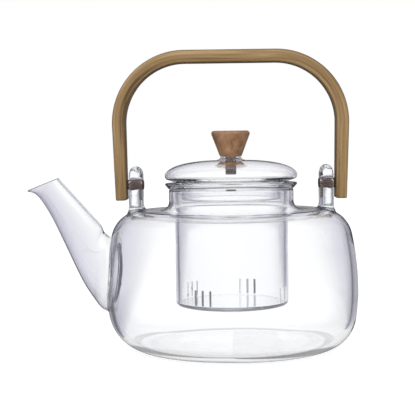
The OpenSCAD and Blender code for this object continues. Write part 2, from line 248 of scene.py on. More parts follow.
def turned_mesh(outline, steps=288, angles=None, slits=(), slit_rows=(), ground=()):
    """A mesh turned round Z from a half outline, closed if the outline leaves the axis free.
    A slit is an interval of the angles, cut through the wall between the outer and the inner row.
    The faces of the ground slits take the object's second material."""
    bm = bmesh.new()
    turns = angles or [2 * math.pi * i / steps for i in range(steps)]
    count = len(turns)
    rings = []
    for r, z in outline:
        if r < ON_AXIS:
            rings.append([bm.verts.new((0, 0, z))])
        else:
            rings.append([bm.verts.new((r * math.cos(t), r * math.sin(t), z)) for t in turns])
    rows = list(range(len(rings) - 1))
    if len(rings[0]) > 1 and len(rings[-1]) > 1:
        rows.append(len(rings) - 1)
    for row in rows:
        lower, upper = rings[row], rings[(row + 1) % len(rings)]
        for i in range(count):
            if row in slit_rows and i in slits:
                continue
            j = (i + 1) % count
            corners = (lower[i % len(lower)], lower[j % len(lower)],
                       upper[j % len(upper)], upper[i % len(upper)])
            unique = list(dict.fromkeys(corners))
            if len(unique) > 2:
                bm.faces.new(unique)
    for i in slits:
        j = (i + 1) % count
        outer, inner = slit_rows
        outside = [rings[outer][i], rings[outer][j], rings[outer + 1][j], rings[outer + 1][i]]
        inside = [rings[inner + 1][i], rings[inner + 1][j], rings[inner][j], rings[inner][i]]
        for k in range(4):
            n = (k + 1) % 4
            face = bm.faces.new((outside[n], outside[k], inside[k], inside[n]))
            face.material_index = 1 if i in ground else 0
    return bm


def ring_mesh(rings, closed=False):
    """A mesh through rings of points: a closed chain of rings, or a tube with capped ends."""
    bm = bmesh.new()
    made = [[bm.verts.new(p) for p in ring] for ring in rings]
    count = len(rings[0])
    pairs = list(zip(made, made[1:]))
    if closed:
        pairs.append((made[-1], made[0]))
    for first, second in pairs:
        for i in range(count):
            j = (i + 1) % count
            bm.faces.new((first[i], first[j], second[j], second[i]))
    if not closed:
        bm.faces.new(reversed(made[0]))
        bm.faces.new(made[-1])
    return bm


def cut(obj, cutter):
    """obj with the cutter's solid taken away for good. Its normals are weighted after the cut."""
    normals = obj.modifiers["normals"]
    normals.show_viewport = False
    modifier = obj.modifiers.new("cut", "BOOLEAN")
    modifier.operation = "DIFFERENCE"
    modifier.solver = "EXACT"
    modifier.object = cutter
    depsgraph = bpy.context.evaluated_depsgraph_get()
    mesh = bpy.data.meshes.new_from_object(obj.evaluated_get(depsgraph))
    obj.modifiers.remove(modifier)
    old, name = obj.data, obj.data.name
    obj.data = mesh
    bpy.data.meshes.remove(old)
    mesh.name = name
    bpy.data.objects.remove(cutter)
    normals.show_viewport = True
    return obj


def between(stops, at):
    """The value at a place, in straight lines between (place, value) stops."""
    for (a, first), (b, second) in zip(stops, stops[1:]):
        if at <= b:
            return first + (second - first) * max(0.0, (at - a) / (b - a))
    return stops[-1][1]


def pot_outline():
    """Half outline of the pot's outer face, from the middle of its foot to its neck."""
    low_x, high_x = POT_R - BELLY_LOW_ROUND, POT_R - BELLY_HIGH_ROUND
    top_z = SHOULDER_Z - SHOULDER_ROUND
    foot_x = low_x + math.sqrt((BELLY_LOW_ROUND - FOOT_ROUND) ** 2 - (BELLY_Z - FOOT_ROUND) ** 2)
    top_x = high_x + math.sqrt((BELLY_HIGH_ROUND - SHOULDER_ROUND) ** 2 - (top_z - BELLY_Z) ** 2)
    low_a = math.degrees(math.atan2(FOOT_ROUND - BELLY_Z, foot_x - low_x))
    high_a = math.degrees(math.atan2(top_z - BELLY_Z, top_x - high_x))
    neck_x, neck_z = NECK_R + NECK_ROUND, SHOULDER_Z + NECK_ROUND
    return ([(foot_x * i / FOOT_RINGS, 0) for i in range(FOOT_RINGS)]
            + arc(foot_x, FOOT_ROUND, FOOT_ROUND, -90, low_a, 30)
            + arc(low_x, BELLY_Z, BELLY_LOW_ROUND, low_a, 0, 12)[1:]
            + arc(high_x, BELLY_Z, BELLY_HIGH_ROUND, 0, high_a, 18)[1:]
            + arc(top_x, top_z, SHOULDER_ROUND, high_a, 90, 30)[1:]
            + arc(neck_x, neck_z, NECK_ROUND, -90, -180, 18))


POT_OUTER = pot_outline()


def pot_inner():
    """Half outline of the pot's inner face: the outer one moved in by the wall at each height."""
    last = len(POT_OUTER) - 1
    inner = []
    for i, (r, z) in enumerate(POT_OUTER):
        (r0, z0), (r1, z1) = POT_OUTER[max(i - 1, 0)], POT_OUTER[min(i + 1, last)]
        length = math.hypot(r1 - r0, z1 - z0)
        wall = between(POT_WALLS, z / MM) * MM
        inner.append((r - wall * (z1 - z0) / length, z + wall * (r1 - r0) / length))
    return inner


def pot_radius(z):
    """Radius of the pot's outer face at a height."""
    for (r0, z0), (r1, z1) in zip(POT_OUTER, POT_OUTER[1:]):
        if z0 <= z <= z1 and z1 > z0:
            return r0 + (r1 - r0) * (z - z0) / (z1 - z0)
    return NECK_R


def shoulder_height(r):
    """Height of the pot's outer face over its shoulder, at a radius."""
    top = [p for p in POT_OUTER if p[1] > SHOULDER_Z - SHOULDER_ROUND and p[0] >= NECK_R]
    for (r0, z0), (r1, z1) in zip(top, top[1:]):
        if r1 <= r <= r0:
            return z0 + (z1 - z0) * (r0 - r) / (r0 - r1)
    return SHOULDER_Z


# ---------------------------------------------------------------- shader nodes

WHITE = (1, 1, 1, 1)
# The places of a mix node's factor and its two colours
MIX_FACTOR, MIX_FIRST, MIX_SECOND = 0, 6, 7


def new_material(name):
    """An empty node material, with its nodes and its links."""
    material = bpy.data.materials.new(name)
    material.use_nodes = True
    nodes = material.node_tree.nodes
    nodes.clear()
    return material, nodes, material.node_tree.links


def add(nodes, kind, **values):
    """A node of a kind with its settings and the values of its inputs."""
    node = nodes.new(kind)
    for key, value in values.items():
        if key in node.inputs:
            node.inputs[key].default_value = value
        else:
            setattr(node, key, value)
    return node


def feed(links, socket, value):
    """Gives an input its value: another node's output, or a number or colour."""
    if isinstance(value, bpy.types.NodeSocket):
        links.new(value, socket)
    else:
        socket.default_value = value


def math_node(nodes, links, operation, *values):
    """The output of a Math node."""
    node = add(nodes, "ShaderNodeMath", operation=operation)
    for socket, value in zip(node.inputs, values):
        feed(links, socket, value)
    return node.outputs[0]


def mix_colour(nodes, links, factor, first, second, blend="MIX"):
    """The output of a mix of two colours."""
    node = add(nodes, "ShaderNodeMix", data_type="RGBA", blend_type=blend)
    for place, value in ((MIX_FACTOR, factor), (MIX_FIRST, first), (MIX_SECOND, second)):
        feed(links, node.inputs[place], value)
    return node.outputs[2]


def ramp(nodes, links, factor, stops, interpolation="EASE"):
    """The colour at a factor, through (place, colour) stops."""
    node = add(nodes, "ShaderNodeValToRGB")
    node.color_ramp.interpolation = interpolation
    elements = node.color_ramp.elements
    while len(elements) > 1:
        elements.remove(elements[-1])
    for i, (place, colour) in enumerate(stops):
        element = elements[0] if i == 0 else elements.new(place)
        element.position = place
        element.color = (*colour, 1)
    links.new(factor, node.inputs["Fac"])
    return node.outputs["Color"]


def noise(nodes, links, place, **values):
    """The output of a noise texture at a place."""
    node = add(nodes, "ShaderNodeTexNoise", **values)
    links.new(place, node.inputs["Vector"])
    return node.outputs["Fac"]


def stretched(nodes, links, place, scale):
    """A place with its three parts scaled."""
    node = add(nodes, "ShaderNodeMapping", Scale=scale)
    links.new(place, node.inputs["Vector"])
    return node.outputs[0]


def relief(nodes, links, height, strength, distance):
    """The normal of a face with a fine relief."""
    node = add(nodes, "ShaderNodeBump", Strength=strength, Distance=distance)
    links.new(height, node.inputs["Height"])
    return node.outputs["Normal"]


def show(nodes, links, shader, volume=None):
    """Ends a material with its shader, and with what fills it."""
    out = add(nodes, "ShaderNodeOutputMaterial")
    links.new(shader, out.inputs["Surface"])
    if volume:
        links.new(volume, out.inputs["Volume"])


def grey(value):
    """A grey as a colour."""
    return (value, value, value)


# ---------------------------------------------------------------- materials

GLASS_IOR = 1.47
# Its faint tint comes and goes between two places of its waves
GLASS_TINT = (0.985, 0.988, 0.99)
GLASS_TINT_PLACES = (0.35, 0.65)
# How lamps shine through glass, and the colour that it takes on with its depth
GLASS_SHADOW = (0.93, 0.93, 0.94, 1)
GLASS_DEPTH_COLOUR = (0.62, 0.66, 0.70, 1)
GLASS_DEPTH_DENSITY = 18.0
GLASS_WAVE_DEPTH = 1 * MM
# Waves in the glass: (size, strength). Blown glass is calm, worked glass is restless
BLOWN_WAVES = (35 * MM, 0.06)
WORKED_WAVES = (4 * MM, 0.3)
# The spout's lip is glass made darker: painted shade that draws its rim as a dark line
LIP_SHADE_CLEARNESS = 0.62

# The ground faces are matt; their grey is painted shade
GROUND_SHADE_TONES = [(0.3, (0.5, 0.5, 0.51)), (0.7, (0.7, 0.7, 0.71))]
GROUND_SCALE = 4000.0
GROUND_ROUGHNESS = 0.7

# The places of wood's dark, middle and light tones, and its flecks
WOOD_PLACES = (0.3, 0.52, 0.75)
FLECK_STOPS = [(0.34, grey(1)), (0.46, grey(0))]
FLECK_STRENGTH = 0.55
WOOD_RELIEF = 0.4 * MM

# Fibres and bands of bamboo: how finely they change along the strip, across it and through it
BAMBOO_FIBRES = (25.0, 900.0, 900.0)
BAMBOO_BANDS = (12.0, 120.0, 260.0)
BAMBOO_TONES = [(0.34, (0.085, 0.048, 0.017)), (0.43, (0.185, 0.113, 0.044)),
                (0.52, (0.27, 0.168, 0.070)), (0.66, (0.41, 0.280, 0.142))]
# Painted shade across the strip, from its inner face to its outer one: darker at both faces
BAMBOO_EDGE_SHADE = [(0.02, grey(0.8)), (0.10, grey(1)), (0.90, grey(1)), (0.975, grey(0.45))]
# Its relief: strength and depth
BAMBOO_RELIEF = (0.35, 0.3 * MM)
BAMBOO_ROUGHNESS = 0.6


def glass_material(name, waves, clearness=1.0):
    """Clear glass: faint waves in its face, and lamps that shine through it."""
    material, nodes, links = new_material(name)
    wave_size, wave_strength = waves
    place = add(nodes, "ShaderNodeTexCoord").outputs["Object"]
    wave = noise(nodes, links, place, Scale=1 / wave_size, Detail=1.0)
    tones = tuple(clearness * part for part in GLASS_TINT), grey(clearness)
    tint = ramp(nodes, links, wave, zip(GLASS_TINT_PLACES, tones))
    glass = add(nodes, "ShaderNodeBsdfPrincipled", Roughness=0.0, IOR=GLASS_IOR)
    glass.inputs["Transmission Weight"].default_value = 1
    links.new(tint, glass.inputs["Base Color"])
    links.new(relief(nodes, links, wave, wave_strength, GLASS_WAVE_DEPTH), glass.inputs["Normal"])
    clear = add(nodes, "ShaderNodeBsdfTransparent", Color=GLASS_SHADOW)
    mix = add(nodes, "ShaderNodeMixShader")
    links.new(add(nodes, "ShaderNodeLightPath").outputs["Is Shadow Ray"], mix.inputs[0])
    links.new(glass.outputs[0], mix.inputs[1])
    links.new(clear.outputs[0], mix.inputs[2])
    inside = add(nodes, "ShaderNodeVolumeAbsorption", Color=GLASS_DEPTH_COLOUR,
                 Density=GLASS_DEPTH_DENSITY)
    show(nodes, links, mix.outputs[0], inside.outputs[0])
    return material


def ground_glass_shaded_material():
    """The matt faces of a slit cut through glass, painted grey as painted shade."""
    material, nodes, links = new_material("ground_glass_shaded")
    place = add(nodes, "ShaderNodeTexCoord").outputs["Object"]
    grains = noise(nodes, links, place, Scale=GROUND_SCALE, Detail=2.0)
    matt = add(nodes, "ShaderNodeBsdfPrincipled", Roughness=GROUND_ROUGHNESS, IOR=GLASS_IOR)
    links.new(ramp(nodes, links, grains, GROUND_SHADE_TONES), matt.inputs["Base Color"])
    show(nodes, links, matt.outputs[0])
    return material


def wood_material(name, dark, light, fleck, stretch, roughness, strength):
    """Wood: long fibres along the stretched axis, short dark flecks and a fine relief."""
    material, nodes, links = new_material(name)
    place = add(nodes, "ShaderNodeTexCoord").outputs["Object"]
    lengthwise = stretched(nodes, links, place, stretch)
    broad = noise(nodes, links, lengthwise, Scale=1.0, Detail=3.0, Roughness=0.55)
    fibres = noise(nodes, links, lengthwise, Scale=5.0, Detail=5.0, Roughness=0.7)
    middle = tuple((a + b) / 2 for a, b in zip(dark, light))
    colour = ramp(nodes, links, broad, zip(WOOD_PLACES, (dark, middle, light)))
    flecks = ramp(nodes, links, fibres, FLECK_STOPS)
    share = math_node(nodes, links, "MULTIPLY", flecks, FLECK_STRENGTH)
    wood = add(nodes, "ShaderNodeBsdfPrincipled", Roughness=roughness)
    links.new(mix_colour(nodes, links, share, colour, (*fleck, 1)), wood.inputs["Base Color"])
    links.new(relief(nodes, links, fibres, strength, WOOD_RELIEF), wood.inputs["Normal"])
    show(nodes, links, wood.outputs[0])
    return material


def bamboo_material():
    """Bamboo strip: fibre lines along the bow, dark resin lines, and painted shade that darkens it at
    its inner and outer faces.
    """
    material, nodes, links = new_material("bamboo")
    place = add(nodes, "ShaderNodeAttribute", attribute_name="grain_place").outputs["Vector"]
    fibres = noise(nodes, links, stretched(nodes, links, place, BAMBOO_FIBRES),
                   Scale=1.0, Detail=3.0, Roughness=0.6)
    broad = noise(nodes, links, stretched(nodes, links, place, BAMBOO_BANDS),
                  Scale=1.0, Detail=2.0)
    both = math_node(nodes, links, "ADD", fibres, broad)
    tone = math_node(nodes, links, "MULTIPLY", both, 0.5)
    colour = ramp(nodes, links, tone, BAMBOO_TONES)
    parts = add(nodes, "ShaderNodeSeparateXYZ")
    links.new(place, parts.inputs[0])
    depth = math_node(nodes, links, "MULTIPLY_ADD", parts.outputs["Z"], 1 / BOW_T, 0.5)
    # Painted shade: darker towards the strip's inner and outer faces
    edge_shade = ramp(nodes, links, depth, BAMBOO_EDGE_SHADE, "LINEAR")
    wood = add(nodes, "ShaderNodeBsdfPrincipled", Roughness=BAMBOO_ROUGHNESS)
    links.new(mix_colour(nodes, links, 1, colour, edge_shade, "MULTIPLY"), wood.inputs["Base Color"])
    links.new(relief(nodes, links, fibres, *BAMBOO_RELIEF), wood.inputs["Normal"])
    show(nodes, links, wood.outputs[0])
    return material


# ---------------------------------------------------------------- the pot, its spout and its ears

def fuller(p):
    """Moves a point of the pot outwards where its lower corner is fuller, away from the spout."""
    r = math.hypot(p.x, p.y)
    if not r:
        return
    low = max(0.0, 1 - p.z / FULLER_Z)
    away = max(0.0, p.x / r)
    push = FULLER_BY * low ** FULLER_FADE * math.sqrt(away) * min(r / POT_R, 1.0)
    p.x, p.y = p.x * (1 + push / r), p.y * (1 + push / r)


def pot_body(material):
    """The blown body with a fire-polished rim and a hole behind the spout."""
    rim_round = GLASS_WALL / 2
    outline = (POT_OUTER
               + arc(NECK_R - rim_round, RIM_Z - rim_round, rim_round, 0, 180, 12)
               + pot_inner()[::-1])
    turned = turned_mesh(outline)
    for vertex in turned.verts:
        fuller(vertex.co)
    body = smooth_object(turned, "pot_body", material)
    hole = bmesh.new()
    hole_z = spout_place(0, (SPOUT_ROOT_SHARES[1] + SPOUT_ROOT_SHARES[3]) / 2).z
    bmesh.ops.create_cone(
        hole, cap_ends=True, segments=SPOUT_SIDES,
        radius1=SPOUT_HOLE_R, radius2=SPOUT_HOLE_R, depth=POT_R,
        matrix=Matrix.Translation((-POT_R, 0, hole_z)) @ Matrix.Rotation(math.pi / 2, 4, "Y"))
    return cut(body, smooth_object(hole, "hole_cutter", material))


def spout_values(k):
    """The spout's five shares at a place k along it, on a Catmull-Rom curve through its stations."""
    i = min(int(math.floor(k)), SPOUT_LAST)
    t = k - i
    a, b, c, d = (SPOUT_SHARES[min(max(i + n, 0), SPOUT_LAST)] for n in (-1, 0, 1, 2))
    return [0.5 * (2 * q + (r - p) * t + (2 * p - 5 * q + 4 * r - s) * t ** 2
                   + (3 * q - p - 3 * r + s) * t ** 3) for p, q, r, s in zip(a, b, c, d)]


def spout_place(out, up):
    """A point in the spout's middle plane, at a share of its reach and of its rise."""
    rise = SPOUT_TOP_Z - SPOUT_LOW_Z
    return Vector((-POT_R - out * SPOUT_REACH, 0, SPOUT_LOW_Z + up * rise))


def spout_corner(k, side, inset, push=0):
    """A point of the spout: at a place along it and a side round it, moved in and ahead."""
    low_out, low_up, high_out, high_up, widening = spout_values(k)
    low, high = spout_place(low_out, low_up), spout_place(high_out, high_up)
    up = (high - low).normalized()
    ahead = Vector((-up.z, 0, up.x))
    half_h = (high - low).length / 2 - inset
    half_w = SPOUT_MOUTH_W + (SPOUT_ROOT_W - SPOUT_MOUTH_W) * widening - inset
    a = 2 * math.pi * side / SPOUT_SIDES
    return ((low + high) / 2 + push * ahead
            + half_h * math.cos(a) * up + half_w * math.sin(a) * Vector((0, 1, 0)))


def spout_start(side, inset):
    """Where a side line of the spout leaves the pot's outer face, found by halving."""
    low, high = 0.0, SPOUT_SEAT_END
    for _ in range(SEAT_HALVINGS):
        k = (low + high) / 2
        p = spout_corner(k, side, inset)
        if math.hypot(p.x, p.y) > pot_radius(p.z) - SPOUT_SEAT:
            high = k
        else:
            low = k
    return high


def spout_face(inset):
    """Rings of the spout's outer or inner face, from the pot to the lip."""
    starts = [spout_start(side, inset) for side in range(SPOUT_SIDES)]
    return [[spout_corner(start + (SPOUT_LAST - start) * i / SPOUT_RINGS, side, inset)
             for side, start in enumerate(starts)] for i in range(SPOUT_RINGS + 1)]


def spout_tube(material, lip_shade_material):
    """The spout from its seat on the pot to its rolled lip, and back down the inside. Its lip takes the
    second material, the darker glass of painted shade.
    """
    lip_round = SPOUT_WALL / 2
    lip = []
    for i in range(1, LIP_STEPS):
        a = math.pi * i / LIP_STEPS
        inset, push = lip_round * (1 - math.cos(a)), lip_round * math.sin(a)
        lip.append([spout_corner(SPOUT_LAST, side, inset, push) for side in range(SPOUT_SIDES)])
    rings = spout_face(0) + lip + spout_face(SPOUT_WALL)[::-1]
    tube = smooth_object(ring_mesh(rings, closed=True), "spout_tube", material)
    tube.data.materials.append(lip_shade_material)
    # The lip's faces take the darker glass: painted shade for the rim
    first = (SPOUT_RINGS + 1) * SPOUT_SIDES
    for face in tube.data.polygons:
        if first <= face.index < first + (len(lip) - 1) * SPOUT_SIDES:
            face.material_index = 1
    return tube


def ear_loop(name, side, material):
    """A glass rod bent to a loop, its feet melted onto the shoulder."""
    foot_z = shoulder_height(math.hypot(EAR_X, EAR_BEND_R))
    leg = [foot_z + (EAR_BEND_Z - foot_z) * (i / EAR_LEG_STEPS) for i in range(EAR_LEG_STEPS)]
    # The rod's middle line: y, z, the direction of its outer side in radians, and whether it is
    # in a leg
    path = [(-EAR_BEND_R, z, math.pi, True) for z in leg]
    for i in range(EAR_BEND_STEPS + 1):
        a = math.pi - math.pi * i / EAR_BEND_STEPS
        path.append((EAR_BEND_R * math.cos(a), EAR_BEND_Z + EAR_BEND_R * math.sin(a), a, False))
    path += [(EAR_BEND_R, z, 0.0, True) for z in reversed(leg)]
    rings = []
    for y, z, outer, in_leg in path:
        rise = z - foot_z
        flare = max(0.0, 1 - rise / EAR_WELD_H) ** 2
        r = EAR_ROD_R + (EAR_WELD_R - EAR_ROD_R) * flare
        outward = Vector((0, math.cos(outer), math.sin(outer)))
        ring = []
        for i in range(EAR_SIDES):
            b = 2 * math.pi * i / EAR_SIDES
            p = Vector((side * EAR_X, y, z)) + r * math.cos(b) * outward
            p.x += side * r * math.sin(b)
            if in_leg and rise < EAR_SETTLE_H:
                ground = shoulder_height(math.hypot(p.x, p.y)) - EAR_SINK
                p.z += (ground - foot_z) * (1 - rise / EAR_SETTLE_H) ** EAR_SETTLE_FADE
            ring.append(p)
        rings.append(ring)
    return smooth_object(ring_mesh(rings), name, material)


# ---------------------------------------------------------------- the infuser and the lid

def slit_angles():
    """Angles round the cup with both edges of each slit among them, and the places of the slits."""
    slits = [(math.radians(group - 90 + (i - (SLITS_IN_GROUP - 1) / 2) * SLIT_STEP) % (2 * math.pi),
              width / 2 / CUP_R)
             for group, width in SLIT_GROUPS for i in range(SLITS_IN_GROUP)]
    even = [2 * math.pi * i / CUP_STEPS for i in range(CUP_STEPS)]
    clear = [a for a in even if all(abs(a - middle) > 2 * half for middle, half in slits)]
    angles = sorted(clear + [middle - half for middle, half in slits]
                    + [middle + half for middle, half in slits])
    return angles, [angles.index(middle - half) for middle, half in slits]


def infuser_cup(material, ground):
    """The cup that hangs in the neck, with its groups of slits."""
    inner_round = CUP_ROUND - GLASS_WALL
    lip = GLASS_WALL / 2
    under = RIM_Z + SEAT_GAP
    slit_low = CUP_Z + SLIT_LIFT
    slit_high = slit_low + SLIT_H
    outline = [(0, CUP_Z)] + arc(CUP_R - CUP_ROUND, CUP_Z + CUP_ROUND, CUP_ROUND, -90, 0, 16)
    outer_row = len(outline)
    outline += ([(CUP_R, slit_low), (CUP_R, slit_high)]
                + arc(CUP_R + FLANGE_FILLET, under - FLANGE_FILLET, FLANGE_FILLET, 180, 90, 8)
                + [(NECK_R, under)]
                + arc(FLANGE_R - FLANGE_EDGE, FLANGE_TOP_Z - FLANGE_EDGE, FLANGE_EDGE,
                      -FLANGE_TAPER, 90, 14)
                + arc(CUP_INNER_R + lip, FLANGE_TOP_Z - lip, lip, 90, 180, 10))
    inner_row = len(outline)
    outline += ([(CUP_INNER_R, slit_high), (CUP_INNER_R, slit_low)]
                + arc(CUP_INNER_R - inner_round, CUP_Z + CUP_ROUND, inner_round, 0, -90, 12)
                + [(0, CUP_Z + GLASS_WALL)])
    angles, slits = slit_angles()
    bm = turned_mesh(outline, angles=angles, slits=slits, slit_rows=(outer_row, inner_row),
                     ground=slits[:GROUND_GROUPS * SLITS_IN_GROUP])
    cup = smooth_object(bm, "infuser_cup", material)
    cup.data.materials.append(ground)
    return cup


def dome(end_r, below):
    """The lid's domed top from its edge inwards to a radius, lowered square to its face."""
    rise = DOME_Z - LID_EDGE_Z
    power = 2 / LID_FULLNESS
    last = math.acos((end_r / LID_R) ** (1 / power))
    points = []
    for i in range(1, DOME_STEPS + 1):
        t = last * i / DOME_STEPS
        r, z = LID_R * math.cos(t) ** power, LID_EDGE_Z + rise * math.sin(t)
        along_r = -LID_R * power * math.cos(t) ** (power - 1) * math.sin(t)
        along_z = rise * math.cos(t)
        length = math.hypot(along_r, along_z)
        points.append((r - below * along_z / length, z + below * along_r / length))
    return points


def lid_dome(material):
    """The blown lid: skirt, seat, folded edge, dome and collar."""
    seat_r = SKIRT_R + LID_SEAT_W
    inner_seat_z = LID_SEAT_Z + LID_WALL
    fold_x = LID_R - LID_FOLD_ROUND
    hole_r = PLUG_R + PLUG_PLAY
    flare_r = COLLAR_R + COLLAR_FLARE
    lip = GLASS_WALL / 2
    outer = (arc(SKIRT_R - lip, SKIRT_Z + lip, lip, -90, 0, 6)
             + [(SKIRT_R, LID_SEAT_Z - SKIRT_BEVEL), (SKIRT_R + SKIRT_BEVEL, LID_SEAT_Z),
                (seat_r, LID_SEAT_Z)]
             + arc(fold_x, LID_EDGE_Z, LID_FOLD_ROUND, LID_FOLD_START, 0, 16)
             + dome(flare_r, 0)
             + arc(flare_r, COLLAR_Z, COLLAR_FLARE, *COLLAR_ARC, 8)
             + [(hole_r, COLLAR_Z)])
    inner = (arc(SKIRT_R - lip, SKIRT_Z + lip, lip, -90, -180, 6)
             + [(SKIRT_INNER_R, inner_seat_z - SKIRT_INNER_BEVEL),
                (SKIRT_INNER_R + SKIRT_INNER_BEVEL, inner_seat_z),
                (seat_r, inner_seat_z)]
             + arc(fold_x, LID_EDGE_Z, LID_FOLD_ROUND - LID_WALL, LID_FOLD_START, 0, 10)
             + dome(hole_r, LID_WALL))
    return smooth_object(turned_mesh(outer + inner[::-1]), "lid_dome", material)


# ---------------------------------------------------------------- knob, plug, bow and pins

def knob_turned(material):
    """The wooden knob, wider at its top."""
    outline = ([(0, COLLAR_Z), (KNOB_FOOT_R - KNOB_BEVEL, COLLAR_Z),
                (KNOB_FOOT_R, COLLAR_Z + KNOB_BEVEL)]
               + arc(KNOB_TOP_R - KNOB_ROUND, KNOB_TOP_Z - KNOB_ROUND, KNOB_ROUND,
                     -KNOB_SLOPE, 90, 14)
               + [(0, KNOB_TOP_Z)])
    return smooth_object(turned_mesh(outline, steps=128), "knob_turned", material)


def plug_ringed(material):
    """The soft plug under the knob, with two beads at its lower end."""
    bead_r = BEAD_H / 2
    shank_z = PLUG_Z + 2 * BEAD_H
    outline = ([(0, PLUG_Z)]
               + arc(PLUG_R - bead_r, PLUG_Z + bead_r, bead_r, -90, 60, 10)
               + arc(PLUG_R - bead_r, PLUG_Z + 3 * bead_r, bead_r, -60, 60, 10)
               + [(PLUG_R - PLUG_BEVEL, shank_z), (PLUG_R, shank_z + PLUG_BEVEL),
                  (PLUG_R, COLLAR_Z), (0, COLLAR_Z)])
    return smooth_object(turned_mesh(outline, steps=96), "plug_ringed", material)


def bow_stations():
    """The bow's middle line from its left end to its right end, as rows of x, z, the direction of
    its outer face in radians, its thickness, and how much its rounded end trims it there."""
    mid_round = BOW_ROUND - BOW_T / 2
    mid_top = BOW_TOP_Z - BOW_T / 2
    bend_x, bend_z = BOW_HIGH.x - BOW_ROUND, BOW_TOP_Z - BOW_ROUND
    lean = math.radians(BOW_LEAN)
    leg_x, leg_z = bend_x + mid_round * math.cos(lean), bend_z - mid_round * math.sin(lean)
    leg_end = BOW_END_Z + BOW_END_EDGE

    def leg(z, trim):
        """A station in the right leg, which thins towards its end."""
        t = BOW_T + (BOW_END_T - BOW_T) * (leg_z - z) / (leg_z - BOW_END_Z)
        return (leg_x - (leg_z - z) * math.tan(lean), z, -lean, t, trim)

    half = [(bend_x * i / BOW_TOP_STEPS, mid_top, math.pi / 2, BOW_T, 0)
            for i in range(1, BOW_TOP_STEPS)]
    for i in range(BOW_BEND_STEPS + 1):
        a = math.pi / 2 - (math.pi / 2 + lean) * i / BOW_BEND_STEPS
        half.append((bend_x + mid_round * math.cos(a), bend_z + mid_round * math.sin(a), a, BOW_T, 0))
    half += [leg(leg_z + (leg_end - leg_z) * i / BOW_LEG_STEPS, 0)
             for i in range(1, BOW_LEG_STEPS + 1)]
    for angle in BOW_END_ANGLES:
        a = math.radians(angle)
        half.append(leg(BOW_END_Z + BOW_END_EDGE * (1 - math.sin(a)), BOW_END_EDGE * (1 - math.cos(a))))
    left = [(-x, z, math.pi - a, t, trim) for x, z, a, t, trim in half[::-1]]
    return left + [(0, mid_top, math.pi / 2, BOW_T, 0)] + half


def bow_strip(material):
    """The bent bamboo strip. Its grain_place is the place along it, across it and through it."""
    stations = bow_stations()
    rings = []
    for x, z, a, t, trim in stations:
        ring = []
        for quarter in range(4):
            sx = 1 if quarter in (0, 3) else -1
            sy = 1 if quarter < 2 else -1
            for i in range(BOW_EDGE_STEPS + 1):
                b = math.radians(90 * quarter + 90 * i / BOW_EDGE_STEPS)
                across = sx * (t / 2 - trim - BOW_EDGE) + BOW_EDGE * math.cos(b)
                along_y = sy * (BOW_W / 2 - trim - BOW_EDGE) + BOW_EDGE * math.sin(b)
                ring.append(Vector((x + across * math.cos(a), along_y, z + across * math.sin(a))))
        rings.append(ring)
    strip = smooth_object(ring_mesh(rings), "bow_strip", material, sharp=50)
    lengths = [0.0]
    for p, q in zip(stations, stations[1:]):
        lengths.append(lengths[-1] + math.hypot(q[0] - p[0], q[1] - p[1]))
    grain = strip.data.attributes.new("grain_place", "FLOAT_VECTOR", "POINT")
    count = len(rings[0])
    for i, vertex in enumerate(strip.data.vertices):
        x, z, a = stations[i // count][:3]
        through = (vertex.co.x - x) * math.cos(a) + (vertex.co.z - z) * math.sin(a)
        grain.data[i].vector = (lengths[i // count], vertex.co.y, through)
    return strip


def pin_peg(name, side, material):
    """A dowel with a rounded inner end, lying along X at the height of the eyes."""
    outline = ([(0, 0)] + arc(PIN_R - PIN_ROUND, PIN_ROUND, PIN_ROUND, -90, 0, 8)
               + [(PIN_R, PIN_LENGTH), (0, PIN_LENGTH)])
    bm = turned_mesh(outline, steps=64)
    bm.transform(Matrix.Translation((side * PIN_LOW.x, 0, PIN_Z))
                 @ Matrix.Rotation(side * math.pi / 2, 4, "Y"))
    return smooth_object(bm, name, material)


# ---------------------------------------------------------------- camera and lamps

# The camera stands in front of the object, turned a little left, down and over
CAMERA_DISTANCE = 0.700
CAMERA_HEIGHT = 0.1185
CAMERA_PITCH = 3.237
CAMERA_YAW = 1.086
CAMERA_ROLL = 0.72
# The lens and its sensor's width, in millimetres, and the near and far limits
CAMERA_LENS = 109.14
CAMERA_SENSOR = 36
CAMERA_CLIP = (0.01, 50)


def make_camera():
    """The camera at the photograph's angle."""
    data = bpy.data.cameras.new("camera")
    data.lens = CAMERA_LENS
    data.sensor_width = CAMERA_SENSOR
    data.clip_start, data.clip_end = CAMERA_CLIP
    camera = bpy.data.objects.new("camera", data)
    bpy.context.scene.collection.objects.link(camera)
    camera.matrix_world = (
        Matrix.Translation((0, -CAMERA_DISTANCE, CAMERA_HEIGHT))
        @ Matrix.Rotation(math.radians(CAMERA_YAW), 4, "Z")
        @ Matrix.Rotation(math.radians(90 - CAMERA_PITCH), 4, "X")
        @ Matrix.Rotation(math.radians(-CAMERA_ROLL), 4, "Z"))
    bpy.context.scene.camera = camera


def area_lamp(name, place, target, size, power):
    """A soft lamp that is seen neither by the camera nor in the glass."""
    data = bpy.data.lights.new(name, "AREA")
    data.shape = "RECTANGLE"
    data.size, data.size_y = size
    data.energy = power
    lamp = bpy.data.objects.new(name, data)
    bpy.context.scene.collection.objects.link(lamp)
    lamp.location = place
    lamp.rotation_euler = (Vector(target) - Vector(place)).to_track_quat("-Z", "Y").to_euler()
    lamp.visible_glossy = False
    lamp.visible_transmission = False
    lamp.visible_camera = False


# ---------------------------------------------------------------- the studio

# How bright the studio is, by the angle from the middle of its backdrop: through glass, and in
# reflections. It darkens to the sides, which gives clear glass its grey contours
SEEN_THROUGH = [(0, 1.16), (4, 1.12), (7, 0.96), (9, 0.89), (12, 0.84), (16, 0.74), (22, 0.66),
                (27, 0.62), (33, 0.2), (44, 0.2), (56, 0.5), (75, 0.8), (95, 0.9), (180, 1.1)]
REFLECTED = [(0, 0.12), (34, 0.12), (50, 0.5), (66, 0.75), (100, 0.8), (130, 0.45), (180, 0.35)]
